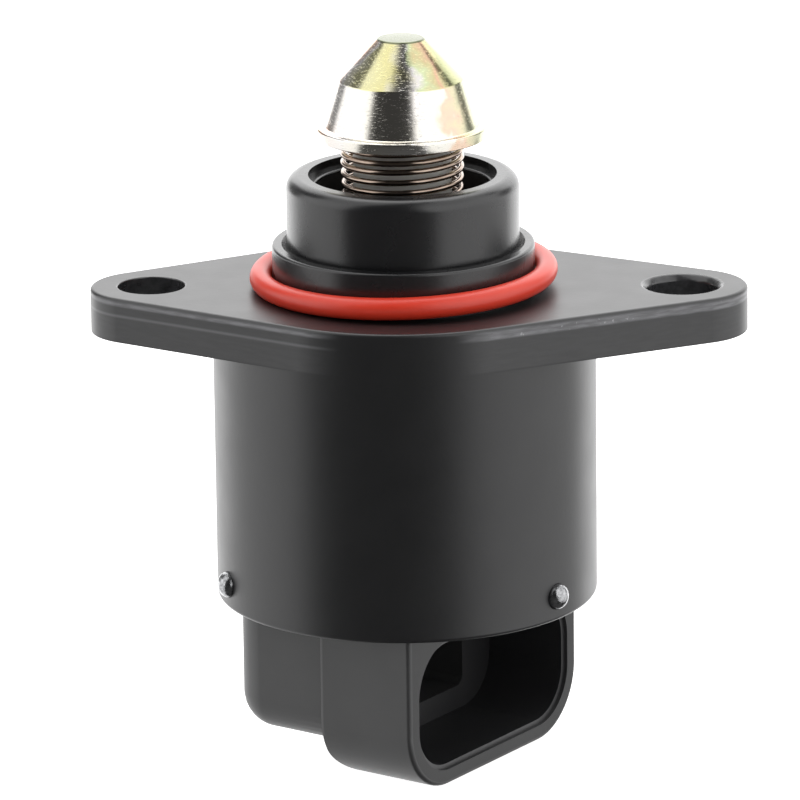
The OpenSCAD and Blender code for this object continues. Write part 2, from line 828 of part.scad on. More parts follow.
module cap_seal() {
    color([0.10, 0.10, 0.10]) translate([0, 0, seal_groove_top - seal_groove_h / 2]) {
        rotate_extrude($fn = 96) translate([seal_ring_r, 0]) circle(d = cap_seal_section, $fn = 24);
    }
}

module terminal(i) {
    color([0.72, 0.70, 0.64]) terminal_shape(i, 0);
}

// A staked pin with a dimple in its domed head
module retaining_pin(i) {
    r = pin_d / 2;
    dimple_r = pin_dimple_d / 2;
    dome_foot = body_r;
    dimple_top = dome_foot + pin_proud * sqrt(1 - pow(dimple_r / r, 2));
    color([0.78, 0.79, 0.80]) at_pin(i) rotate_extrude($fn = 32) polygon(concat(
        [[0, pin_root + fit_gap], [r, pin_root + fit_gap]],
        [for (p = arc(0, 0, 1, 0, 90)) if (r * p[0] > dimple_r) [r * p[0], dome_foot + pin_proud * p[1]]],
        [[dimple_r, dimple_top], [0, dimple_top - pin_dimple_depth]]
    ));
}

housing();
o_ring();
pintle();
pintle_sleeve();
pintle_spring();
lead_screw();
guide_bush();
bearing_outer_race();
bearing_inner_race();
bearing_balls();
bearing_cage();
rotor_hub();
rotor_magnet();
color([0.60, 0.61, 0.63]) front_phase() stator_cup();  // stator_cup_front
color([0.66, 0.67, 0.69]) front_phase() pole_plate();  // pole_plate_front
color([0.85, 0.83, 0.76]) front_phase() bobbin();  // bobbin_front
color([0.72, 0.36, 0.16]) front_phase() winding();  // winding_front
color([0.60, 0.61, 0.63]) rear_phase() stator_cup();  // stator_cup_rear
color([0.66, 0.67, 0.69]) rear_phase() pole_plate();  // pole_plate_rear
color([0.85, 0.83, 0.76]) rear_phase() bobbin();  // bobbin_rear
color([0.72, 0.36, 0.16]) rear_phase() winding();  // winding_rear
preload_washer();
rear_bush();
end_cap();
cap_seal();
terminal(1);  // terminal_1
terminal(2);  // terminal_2
terminal(3);  // terminal_3
terminal(4);  // terminal_4
retaining_pin(0);  // retaining_pin_1
retaining_pin(1);  // retaining_pin_2
retaining_pin(2);  // retaining_pin_3
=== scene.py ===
"""Idle air control valve: finishes, fine meshes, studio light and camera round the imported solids."""

import logging
import math
from dataclasses import dataclass
from enum import Enum
from typing import Callable, Iterable

import bmesh
import bpy
from mathutils import Matrix, Vector


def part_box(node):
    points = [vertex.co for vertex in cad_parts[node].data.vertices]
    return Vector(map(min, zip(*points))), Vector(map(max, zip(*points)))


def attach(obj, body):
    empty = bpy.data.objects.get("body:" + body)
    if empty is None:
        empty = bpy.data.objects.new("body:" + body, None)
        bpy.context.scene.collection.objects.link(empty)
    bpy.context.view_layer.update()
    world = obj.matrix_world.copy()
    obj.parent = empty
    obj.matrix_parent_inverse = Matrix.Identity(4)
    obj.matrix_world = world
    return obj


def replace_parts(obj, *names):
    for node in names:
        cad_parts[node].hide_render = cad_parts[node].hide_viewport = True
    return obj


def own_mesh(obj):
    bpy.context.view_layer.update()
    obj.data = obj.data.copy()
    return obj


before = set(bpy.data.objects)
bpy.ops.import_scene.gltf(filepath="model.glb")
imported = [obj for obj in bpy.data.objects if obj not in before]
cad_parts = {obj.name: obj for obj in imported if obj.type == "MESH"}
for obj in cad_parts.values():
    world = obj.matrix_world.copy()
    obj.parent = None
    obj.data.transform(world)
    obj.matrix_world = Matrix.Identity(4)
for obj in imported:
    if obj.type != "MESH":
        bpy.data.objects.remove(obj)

LOG = logging.getLogger("valve")
MM = 0.001
NEAR_MM = 0.05
# A Mix node's sockets by number, because their names repeat
MIX_FACTOR, MIX_LOW, MIX_HIGH, MIX_A, MIX_B, MIX_COLOUR = 0, 2, 3, 6, 7, 2

Node = bpy.types.Node
Socket = bpy.types.NodeSocket
Tree = bpy.types.NodeTree
Piece = bpy.types.Object


def linear(hex_code: str) -> tuple[float, float, float, float]:
    """Turns an sRGB hex colour to the linear values that a shader takes.

    Args:
        hex_code: six hex digits, such as "1b1b1c".

    Returns:
        Linear red, green, blue and an alpha of 1.
    """
    shares = [int(hex_code[i : i + 2], 16) / 255 for i in (0, 2, 4)]
    curve = [s / 12.92 if s <= 0.04045 else ((s + 0.055) / 1.055) ** 2.4 for s in shares]
    return (curve[0], curve[1], curve[2], 1.0)


def add_node(tree: Tree, kind: str, inputs: dict | None = None, **settings) -> Node:
    """Adds one node with its settings, values and links.

    Args:
        tree: the node tree that takes it.
        kind: Blender's name for the type of node.
        inputs: by socket name or number, a value or another node's output socket.
        settings: the node's own properties.

    Returns:
        The new node.
    """
    node = tree.nodes.new(kind)
    for name, value in settings.items():
        setattr(node, name, value)
    for key, value in (inputs or {}).items():
        if isinstance(value, Socket):
            tree.links.new(value, node.inputs[key])
        else:
            node.inputs[key].default_value = value
    return node


def fade(tree: Tree, value: Socket, start: float, end: float, low: float = 0.0, high: float = 1.0) -> Socket:
    """Maps a value to a soft step.

    Args:
        tree: the node tree.
        value: the value's socket.
        start: where the step begins.
        end: where it ends.
        low: the result before the step.
        high: the result after it.

    Returns:
        The result's socket.
    """
    step = add_node(
        tree,
        "ShaderNodeMapRange",
        {"Value": value, "From Min": start, "From Max": end, "To Min": low, "To Max": high},
        interpolation_type="SMOOTHSTEP",
    )
    return step.outputs[0]


def times(tree: Tree, *factors: Socket | float) -> Socket:
    """Multiplies values.

    Args:
        tree: the node tree.
        factors: the values, as sockets or numbers, the first one as a socket.

    Returns:
        The product's socket.
    """
    product = factors[0]
    for factor in factors[1:]:
        product = add_node(tree, "ShaderNodeMath", {0: product, 1: factor}, operation="MULTIPLY").outputs[0]
    return product


def lay_over(tree: Tree, under: Socket | tuple, code: str, share: Socket) -> Socket:
    """Lays one more colour over a surface.

    Args:
        tree: the material's nodes.
        under: the colour so far.
        code: the sRGB hex colour that goes over it.
        share: how far it covers each place, from 0 to 1.

    Returns:
        The mixed colour's socket.
    """
    mix = add_node(
        tree,
        "ShaderNodeMix",
        {MIX_FACTOR: share, MIX_A: under, MIX_B: linear(code)},
        data_type="RGBA",
    )
    return mix.outputs[MIX_COLOUR]


@dataclass(frozen=True)
class Finish:
    """A surface: its colours, gloss and grain, with real sizes in millimetres."""

    name: str
    base: str
    mottle: str
    roughness: float
    mottle_mm: float = 3.0
    roughness_spread: float = 0.05
    metallic: float = 0.0
    specular: float = 0.5
    # A pixel is 0.08 mm here, so grain and tool marks that are finer are drawn as coarse as they need to show
    grain_mm: float = 0.25
    grain_depth_mm: float = 0.004

    def place(self, tree: Tree) -> Socket:
        """Returns the coordinates that the finish's patterns follow."""
        return add_node(tree, "ShaderNodeTexCoord").outputs["Object"]

    def colour(self, tree: Tree, place: Socket) -> Socket:
        """Mottles the base colour with the second one.

        Args:
            tree: the material's nodes.
            place: the coordinates to follow.

        Returns:
            The colour's socket.
        """
        noise = add_node(
            tree, "ShaderNodeTexNoise", {"Vector": place, "Scale": 1 / (self.mottle_mm * MM), "Detail": 4.0}
        )
        return lay_over(tree, linear(self.base), self.mottle, noise.outputs["Fac"])

    def gloss(self, tree: Tree, place: Socket) -> Socket:
        """Varies the roughness a little from place to place.

        Args:
            tree: the material's nodes.
            place: the coordinates to follow.

        Returns:
            The roughness's socket.
        """
        noise = add_node(
            tree, "ShaderNodeTexNoise", {"Vector": place, "Scale": 0.7 / (self.mottle_mm * MM), "Detail": 5.0}
        )
        spread = add_node(
            tree,
            "ShaderNodeMapRange",
            {
                "Value": noise.outputs["Fac"],
                "To Min": self.roughness - self.roughness_spread,
                "To Max": self.roughness + self.roughness_spread,
            },
        )
        return spread.outputs["Result"]

    def height(self, tree: Tree, place: Socket) -> Socket:
        """Makes the grain.

        Args:
            tree: the material's nodes.
            place: the coordinates to follow.

        Returns:
            The socket of its height, from 0 to 1.
        """
        grain = add_node(
            tree, "ShaderNodeTexNoise", {"Vector": place, "Scale": 1 / (self.grain_mm * MM), "Detail": 3.0}
        )
        return grain.outputs["Fac"]

    def material(self) -> bpy.types.Material:
        """Builds the material the first time.

        Returns:
            The same material each time.
        """
        found = bpy.data.materials.get(self.name)
        if found:
            return found
        material = bpy.data.materials.new(self.name)
        material.use_nodes = True
        tree = material.node_tree
        tree.nodes.clear()
        place = self.place(tree)
        bump = add_node(
            tree,
            "ShaderNodeBump",
            {"Height": self.height(tree, place), "Distance": self.grain_depth_mm * MM, "Strength": 1.0},
        )
        shader = add_node(
            tree,
            "ShaderNodeBsdfPrincipled",
            {
                "Base Color": self.colour(tree, place),
                "Roughness": self.gloss(tree, place),
                "Normal": bump.outputs["Normal"],
                "Metallic": self.metallic,
                "Specular IOR Level": self.specular,
            },
        )
        add_node(tree, "ShaderNodeOutputMaterial", {"Surface": shader.outputs[0]})
        return material


class Side(Enum):
    """Where along the flange a mark lies, as the photograph shows it."""

    BOTH = "both"
    LEFT = "left"
    RIGHT = "right"


@dataclass(frozen=True)
class CastingFinish(Finish):
    """Enamel on a casting: glossier where machined, paler along the flange's sides, with painted highlights
    and chips along their upper edge.
    """

    machined_roughness: float = 0.27
    machined_from_mm: float = 0.3
    # The sides' paler tone, the painted highlights along their upper edge, and the chips
    side_tone: str = "353536"
    edge_highlight: str = "7e7e81"
    chipped: str = "b4b4b6"
    front_half_mm: float = 4.5
    front_fade_mm: float = 3.6
    flange_t_mm: float = 3.75
    edge_band_high_mm: float = -0.28
    edge_band_mid_mm: float = -0.6
    edge_band_low_mm: float = -0.95
    # A second painted highlight line lies this far down, on the left
    low_highlight_mm: float = -1.45
    low_highlight_half_mm: float = 0.1
    low_highlight_share: float = 0.45
    strip_soft_mm: float = 0.12
    streak_mm: float = 0.25
    streak_run: float = 0.15
    chip_mm: float = 0.3
    cluster_mm: float = 2.5

    def gloss(self, tree: Tree, place: Socket) -> Socket:
        """Makes the machined part above the flange glossier than the rest.

        Args:
            tree: the material's nodes.
            place: the coordinates to follow.

        Returns:
            The roughness's socket.
        """
        z = add_node(tree, "ShaderNodeSeparateXYZ", {0: place}).outputs["Z"]
        start = self.machined_from_mm * MM
        machined = fade(tree, z, start, 2 * start, 0.0, self.machined_roughness - self.roughness)
        plain = super().gloss(tree, place)
        return add_node(tree, "ShaderNodeMath", {0: plain, 1: machined}, operation="ADD").outputs[0]

    def strip(self, tree: Tree, z: Socket, low_mm: float, high_mm: float) -> Socket:
        """Picks out a level strip.

        Args:
            tree: the material's nodes.
            z: the height's socket.
            low_mm: the strip's lower edge.
            high_mm: its upper edge.

        Returns:
            A socket that is 1 in the strip and 0 away from it.
        """
        soft = self.strip_soft_mm * MM
        rise = fade(tree, z, low_mm * MM - soft, low_mm * MM + soft)
        return times(tree, rise, fade(tree, z, high_mm * MM - soft, high_mm * MM + soft, 1.0, 0.0))

    def colour(self, tree: Tree, place: Socket) -> Socket:
        """Pales the flange's sides and paints highlights in a strip along their upper edge, with chips on the
        right.

        Args:
            tree: the material's nodes.
            place: the coordinates to follow.

        Returns:
            The colour's socket.
        """
        split = add_node(tree, "ShaderNodeSeparateXYZ", {0: place})
        x, z = split.outputs["X"], split.outputs["Z"]
        aside = add_node(tree, "ShaderNodeMath", {0: x}, operation="ABSOLUTE").outputs[0]
        front = self.front_half_mm * MM
        beside = fade(tree, aside, front, front + self.front_fade_mm * MM)
        on_side = {
            Side.BOTH: 1.0,
            Side.LEFT: fade(tree, x, -MM, MM, 1.0, 0.0),
            Side.RIGHT: fade(tree, x, -MM, MM),
        }
        run = add_node(
            tree, "ShaderNodeMapping", {"Vector": place, "Scale": (self.streak_run, self.streak_run, 1.0)}
        )
        patterns = [
            (run.outputs[0], self.streak_mm, 6.0), (place, self.chip_mm, 5.0), (place, self.cluster_mm, 2.0)
        ]
        streaks, chips, clusters = [
            add_node(tree, "ShaderNodeTexNoise", {"Vector": at, "Scale": 1 / (size * MM), "Detail": detail})
            for at, size, detail in patterns
        ]
        streaked = streaks.outputs["Fac"]
        side_breakup = fade(tree, streaked, 0.3, 0.7, 0.7, 1.0)
        highlight_breakup = fade(tree, streaked, 0.3, 0.7, 0.5, 1.0)
        low_highlight_bottom, low_highlight_top = self.low_highlight_mm - self.low_highlight_half_mm, self.low_highlight_mm + self.low_highlight_half_mm
        spots = fade(tree, chips.outputs["Fac"], 0.6, 0.68)
        crowded = fade(tree, clusters.outputs["Fac"], 0.52, 0.62)
        marks = [
            # The whole side is paler
            (self.side_tone, Side.BOTH, 0.1 - self.flange_t_mm, -0.05, [side_breakup]),
            # A painted highlight runs in a strip along the upper edge, wider on the right
            (self.edge_highlight, Side.BOTH, self.edge_band_mid_mm, self.edge_band_high_mm, [highlight_breakup]),
            (self.edge_highlight, Side.RIGHT, self.edge_band_low_mm, self.edge_band_mid_mm, [highlight_breakup]),
            # A long painted highlight line runs below it on the left
            (self.edge_highlight, Side.LEFT, low_highlight_bottom, low_highlight_top, [self.low_highlight_share]),
            # Small chips lie in clusters on the right
            (self.chipped, Side.RIGHT, self.edge_band_low_mm, self.edge_band_high_mm, [spots, crowded]),
        ]
        colour = super().colour(tree, place)
        for code, side, low, high, shares in marks:
            share = times(tree, self.strip(tree, z, low, high), on_side[side], *shares, beside)
            colour = lay_over(tree, colour, code, share)
        return colour


@dataclass(frozen=True)
class MouldingFinish(Finish):
    """Moulded nylon with a painted highlight along the heel edge of its socket."""

    # The colour of the painted highlight along the socket's heel edge
    line: str = "545455"
    highlight_mm: float = 0.2
    mouth_angle: float = -32.5
    half_w_mm: float = 12.5
    heel_mm: float = -0.25

    def colour(self, tree: Tree, place: Socket) -> Socket:
        """Paints a highlight along the socket's heel edge on its two sides.

        Args:
            tree: the material's nodes.
            place: the coordinates to follow.

        Returns:
            The colour's socket.
        """
        turned = add_node(
            tree,
            "ShaderNodeVectorRotate",
            {"Vector": place, "Angle": -math.radians(self.mouth_angle)},
            rotation_type="Z_AXIS",
        )
        split = add_node(tree, "ShaderNodeSeparateXYZ", {0: turned.outputs[0]})
        out = split.outputs["X"]
        aside = add_node(tree, "ShaderNodeMath", {0: split.outputs["Y"]}, operation="ABSOLUTE").outputs[0]
        heel = self.heel_mm * MM
        width = self.highlight_mm * MM
        edge = self.half_w_mm * MM
        # The painted highlight: a thin band at the heel, near the socket's two sides
        share = times(
            tree,
            fade(tree, out, heel - width / 2, heel),
            fade(tree, out, heel + width / 2, heel + 1.5 * width, 1.0, 0.0),
            fade(tree, aside, edge - 1.2 * width, edge - width / 2),
        )
        return lay_over(tree, super().colour(tree, place), self.line, share)


@dataclass(frozen=True)
class TurnedFinish(Finish):
    """A lathe-turned surface: fine rings round the axis, broken up along their length."""

    ring_mm: float = 0.12
    ring_run_mm: float = 2.0
    ring_share: float = 1.0
    scratch_share: float = 0.0
    typical_r_mm: float = 5.0

    def angle(self, tree: Tree, split: Node) -> Socket:
        """Finds how far round the axis a place is.

        Args:
            tree: the material's nodes.
            split: the node that splits the place into X, Y and Z.

        Returns:
            The socket of the angle from the front, in radians.
        """
        front = times(tree, split.outputs["Y"], -1.0)
        turn = add_node(tree, "ShaderNodeMath", {0: split.outputs["X"], 1: front}, operation="ARCTAN2")
        return turn.outputs[0]

    def turned_place(self, tree: Tree, place: Socket) -> Socket:
        """Unrolls the surface: how far round, how far out and how far up.

        Args:
            tree: the material's nodes.
            place: the plain coordinates.

        Returns:
            Coordinates that run slowly round the axis and fast across the rings.
        """
        split = add_node(tree, "ShaderNodeSeparateXYZ", {0: place})
        flat = add_node(tree, "ShaderNodeCombineXYZ", {0: split.outputs["X"], 1: split.outputs["Y"]})
        out = add_node(tree, "ShaderNodeVectorMath", {0: flat.outputs[0]}, operation="LENGTH")
        per_radian = self.typical_r_mm * MM / self.ring_run_mm * self.ring_mm
        joined = add_node(
            tree,
            "ShaderNodeCombineXYZ",
            {
                0: times(tree, self.angle(tree, split), per_radian),
                1: out.outputs["Value"],
                2: split.outputs["Z"],
            },
        )
        return joined.outputs[0]

    def height(self, tree: Tree, place: Socket) -> Socket:
        """Adds sparse scratches to the height of the tool's rings.

        Args:
            tree: the material's nodes.
            place: the coordinates to follow.

        Returns:
            The socket of the height.
        """
        unrolled = self.turned_place(tree, place)
        fine = 1 / (self.ring_mm * MM)
        rings = add_node(tree, "ShaderNodeTexNoise", {"Vector": unrolled, "Scale": fine, "Detail": 4.0})
        marks = add_node(tree, "ShaderNodeTexNoise", {"Vector": unrolled, "Scale": 0.7 * fine, "Detail": 2.0})
        scratches = times(tree, fade(tree, marks.outputs["Fac"], 0.56, 0.66), self.scratch_share)
        plain = times(tree, rings.outputs["Fac"], self.ring_share)
        return add_node(tree, "ShaderNodeMath", {0: plain, 1: scratches}, operation="ADD").outputs[0]


@dataclass(frozen=True)
class PassivatedFinish(TurnedFinish):
    """Turned zinc with a yellow passivate, whose thin film shifts between straw, green and rose."""

    pale: str = "e7e3df"
    green: str = "d3dbb0"
    straw: str = "d3c79a"
    rose: str = "dfb99c"
    olive: str = "a9ab82"
    tip: str = "70745c"
    drift: float = 0.035
    pale_below_mm: float = 17.7
    pale_share: float = 0.85
    side_share: float = 0.25
    pale_left: tuple[float, float] = (0.24, 0.3)
    pale_right: tuple[float, float] = (0.59, 0.615)
    low_shift: float = -0.02
    tip_from_mm: float = 21.05
    border_mm: float = 0.1

    def colour(self, tree: Tree, place: Socket) -> Socket:
        """Shifts the film's colour round the axis, pales it below the upper cone and dulls it on the tip.

        Args:
            tree: the material's nodes.
            place: the coordinates to follow.

        Returns:
            The colour's socket.
        """
        split = add_node(tree, "ShaderNodeSeparateXYZ", {0: place})
        z = split.outputs["Z"]
        turn = self.angle(tree, split)
        noise = add_node(
            tree, "ShaderNodeTexNoise", {"Vector": place, "Scale": 1 / (self.mottle_mm * MM), "Detail": 3.0}
        )
        wander = fade(tree, noise.outputs["Fac"], 0.3, 0.7, 0.5 - self.drift, 0.5 + self.drift)
        film = add_node(
            tree, "ShaderNodeMath", {0: turn, 1: 1 / math.tau, 2: wander}, operation="MULTIPLY_ADD"
        )
        soft = self.border_mm * MM
        low = fade(tree, z, self.pale_below_mm * MM - soft, self.pale_below_mm * MM, 1.0, 0.0)
        shifted = add_node(
            tree, "ShaderNodeMath", {0: low, 1: self.low_shift, 2: film.outputs[0]}, operation="MULTIPLY_ADD"
        ).outputs[0]
        ramp = add_node(tree, "ShaderNodeValToRGB", {"Fac": shifted})
        # Shares of a turn: 0 and 1 are behind, 0.25 is on the left, 0.5 in front and 0.75 on the right
        stops = [
            (0.0, self.base), (0.2, self.olive), (0.26, self.rose), (0.33, self.pale), (0.38, self.base),
            (0.47, self.mottle), (0.535, self.pale), (0.56, self.green), (0.59, self.straw),
            (0.615, self.rose), (0.64, self.straw), (0.68, self.olive), (1.0, self.base),
        ]
        elements = ramp.color_ramp.elements
        while len(elements) < len(stops):
            elements.new(0.5)
        for element, (position, code) in zip(elements, stops):
            element.position = position
            element.color = linear(code)
        right = fade(tree, shifted, *self.pale_right, self.pale_share, self.side_share)
        below = times(tree, low, right, fade(tree, shifted, *self.pale_left, self.side_share, 1.0))
        above = fade(tree, z, self.tip_from_mm * MM - soft, self.tip_from_mm * MM)
        paled = lay_over(tree, ramp.outputs["Color"], self.pale, below)
        return lay_over(tree, paled, self.tip, above)


CASTING = CastingFinish(
    # Die-cast body under semi-gloss black enamel: a faint orange peel softens its reflections; painted
    # highlights run along the flange's upper edge
    "black_enamel_on_die_casting", "18181a", "202021", 0.38, specular=0.75, grain_mm=0.45,
    grain_depth_mm=0.005
)
BORE = Finish(
    # The spigot's bore, which the enamel hardly reached: dull and nearly black
    "dull_bore_of_the_casting", "181818", "222222", 0.7, specular=0.4
)
HOLE_SHADE_AND_GLINTS = Finish(
    # Glossy enamel inside the screw holes: darker than outside as painted shade, with pale mottled patches as
    # painted reflections
    "enamel_with_painted_shade_and_glints_in_the_screw_holes", "101011", "48484a", 0.24, mottle_mm=0.7, specular=0.8, grain_mm=0.6,
    grain_depth_mm=0.02
)
MOULDING = MouldingFinish(
    # Glass-filled nylon from an eroded mould: matt and faintly sparkling, with a painted highlight along the
    # socket's heel
    "moulded_glass_filled_nylon", "2c2c2d", "333334", 0.5, specular=1.0, grain_mm=0.12, grain_depth_mm=0.006
)
SOCKET_SHADE = Finish(
    # The socket's inside: painted shade, darker than the outside, and a little smoother
    "painted_shade_in_the_socket", "242426", "2a2a2b", 0.45, specular=0.45, grain_mm=0.12,
    grain_depth_mm=0.003
)
SHADED_SOCKET_LIP = Finish(
    # The socket's lip: painted shade, a little darker and smoother than the outside
    "painted_shade_on_the_lip", "1a1a1b", "212122", 0.45, specular=0.6, grain_mm=0.12, grain_depth_mm=0.006
)
SEAL_RUBBER = Finish(
    # Moulded silicone rubber: satin, with a bloom that pales it a little
    "moulded_red_silicone", "e9351d", "ec4229", 0.38, specular=0.65, mottle_mm=2.0, grain_mm=0.2,
    grain_depth_mm=0.003
)
BLACK_RUBBER = Finish(
    # Moulded nitrile rubber: black and satin
    "moulded_black_nitrile", "161616", "1f1f1f", 0.5
)
PASSIVATED = PassivatedFinish(
    # Turned steel, zinc plated and yellow passivated: bright, straw to green and rose
    "yellow_passivated_turned_steel", "e2deb2", "e0d9a0", 0.17, mottle_mm=3.0, metallic=1.0,
    grain_depth_mm=0.006, ring_mm=0.08, ring_run_mm=0.3, ring_share=0.4, scratch_share=0.8
)
SPRING_WIRE = Finish(
    # Oil-tempered spring wire: dark brown, with drawn streaks
    "oil_tempered_wire", "c9b8aa", "6a5648", 0.14, mottle_mm=1.5, metallic=1.0, grain_mm=0.1,
    grain_depth_mm=0.002
)
SLEEVE = Finish(
    # Moulded acetal: pale, smooth and a little waxy
    "moulded_pale_grey_acetal", "dfdfdb", "d6d6d1", 0.35
)
GROUND_STEEL = TurnedFinish(
    # Hardened and ground bearing steel: bright, with fine rings round the axis
    "ground_bearing_steel", "b9bbbd", "a8aaad", 0.2, metallic=1.0
)
STAKED_STEEL = Finish(
    # Pin heads hammered over: bright steel with small dents
    "staked_steel", "dcdddf", "3a3b3d", 0.2, mottle_mm=0.3, metallic=1.0, grain_mm=0.2, grain_depth_mm=0.03
)
SHEET_STEEL = Finish(
    # Pressed sheet steel under thin zinc: grey, with a soft sheen
    "zinc_plated_sheet_steel", "a7a9ab", "97999c", 0.32, metallic=1.0
)
BRONZE = TurnedFinish(
    # Oil-filled sintered bronze: brown-gold and dull
    "sintered_bronze", "a5814e", "8f6d40", 0.4, metallic=1.0
)
NATURAL_PLASTIC = Finish(
    # Unpigmented moulded nylon: cream and matt
    "natural_nylon", "e2dccb", "dad2be", 0.45
)
FERRITE = Finish(
    # Pressed and fired ferrite: charcoal and matt
    "pressed_ferrite", "3a3a3c", "303032", 0.5
)
COPPER = TurnedFinish(
    # Enamelled copper wire in tight layers: its rings are the turns
    "enamelled_copper_wire", "b9622e", "a55526", 0.3, metallic=1.0
)
SHADED_TIN = Finish(
    # Tinned brass contacts: grey, darkened as painted shade in the socket's pocket
    "tinned_contact_with_painted_shade", "8b887f", "75726a", 0.45, metallic=1.0
)

# The CAD's own pieces that are shown as they are, by their finish
SHOWN_AS_MADE: dict[Finish, tuple[str, ...]] = {
    GROUND_STEEL: (
        "lead_screw", "bearing_outer_race", "bearing_inner_race", "bearing_balls", "preload_washer"
    ),
    BRONZE: ("guide_bush", "bearing_cage", "rear_bush"),
    NATURAL_PLASTIC: ("rotor_hub", "bobbin_front", "bobbin_rear"),
    FERRITE: ("rotor_magnet",),
    SHEET_STEEL: ("stator_cup_front", "pole_plate_front", "stator_cup_rear", "pole_plate_rear"),
    COPPER: ("winding_front", "winding_rear"),
    BLACK_RUBBER: ("cap_seal",),
    SLEEVE: ("pintle_sleeve",),
    # The contacts are darkened as painted shade
    SHADED_TIN: ("terminal_1", "terminal_2", "terminal_3", "terminal_4"),
}


def dress(piece: Piece, finish: Finish) -> Piece:
    """Gives a piece one finish all over.

    Args:
        piece: the piece to dress.
        finish: its finish.

    Returns:
        The same piece.
    """
    piece.data.materials.clear()
    piece.data.materials.append(finish.material())
    return piece


def paint(piece: Piece, finish: Finish, picks: Callable[[Vector], bool]) -> None:
    """Gives one more finish to the faces that a test picks out.

    Args:
        piece: the piece to paint.
        finish: those faces' finish.
        picks: tells of a corner, in millimetres, whether its face may take the finish.
    """
    piece.data.materials.append(finish.material())
    slot = len(piece.data.materials) - 1
    for face in piece.data.polygons:
        if all(picks(piece.data.vertices[i].co / MM) for i in face.vertices):
            face.material_index = slot


def new_piece(name: str, mesh: bpy.types.Mesh) -> Piece:
    """Links a mesh into the scene as a piece at the origin.

    Args:
        name: the new piece's name.
        mesh: its mesh.

    Returns:
        The new piece.
    """
    piece = bpy.data.objects.new(name, mesh)
    bpy.context.scene.collection.objects.link(piece)
    return piece


def smooth(mesh: bpy.types.Mesh, sharp_degrees: float) -> None:
    """Shades a mesh smooth, apart from edges sharper than an angle.

    Args:
        mesh: the mesh to shade.
        sharp_degrees: the angle between two faces from which their edge stays sharp.
    """
    mesh.polygons.foreach_set("use_smooth", [True] * len(mesh.polygons))
    mesh.set_sharp_from_angle(angle=math.radians(sharp_degrees))


def arc(x: float, y: float, r: float, start: float, end: float, steps: int = 6) -> list[tuple[float, float]]:
    """Lists points along an arc.

    Args:
        x: the centre's first coordinate.
        y: the centre's second coordinate.
        r: the radius.
        start: the first angle in degrees.
        end: the last angle in degrees.
        steps: how many chords the arc has.

    Returns:
        Points from the first angle to the last.
    """
    angles = [math.radians(start + (end - start) * i / steps) for i in range(steps + 1)]
    return [(x + r * math.cos(a), y + r * math.sin(a)) for a in angles]


def lathe(name: str, profile: list[tuple[float, float]], place: Matrix, segments: int = 160) -> Piece:
    """Turns a profile that starts and ends on the axis into a closed piece.

    Args:
        name: the new piece's name.
        profile: radius and height in millimetres, from the lower pole to the upper one.
        place: where the axis stands; its +Z is the profile's height.
        segments: how many facets go round.

    Returns:
        The new piece.
    """
    shape = bmesh.new()
    rows = []
    for radius, height in profile:
        if radius < 1e-6:
            rows.append([shape.verts.new((0, 0, height * MM))] * segments)
            continue
        out = radius * MM
        turns = [math.tau * i / segments for i in range(segments)]
        rows.append([shape.verts.new((out * math.cos(t), out * math.sin(t), height * MM)) for t in turns])
    for low, high in zip(rows, rows[1:]):
        for i in range(segments):
            j = (i + 1) % segments
            ring = dict.fromkeys([low[i], low[j], high[j], high[i]])
            if len(ring) > 2:
                shape.faces.new(list(ring))
    bmesh.ops.recalc_face_normals(shape, faces=shape.faces)
    bmesh.ops.transform(shape, matrix=place, verts=shape.verts)
    mesh = bpy.data.meshes.new(name)
    shape.to_mesh(mesh)
    shape.free()
    smooth(mesh, 32)
    return new_piece(name, mesh)


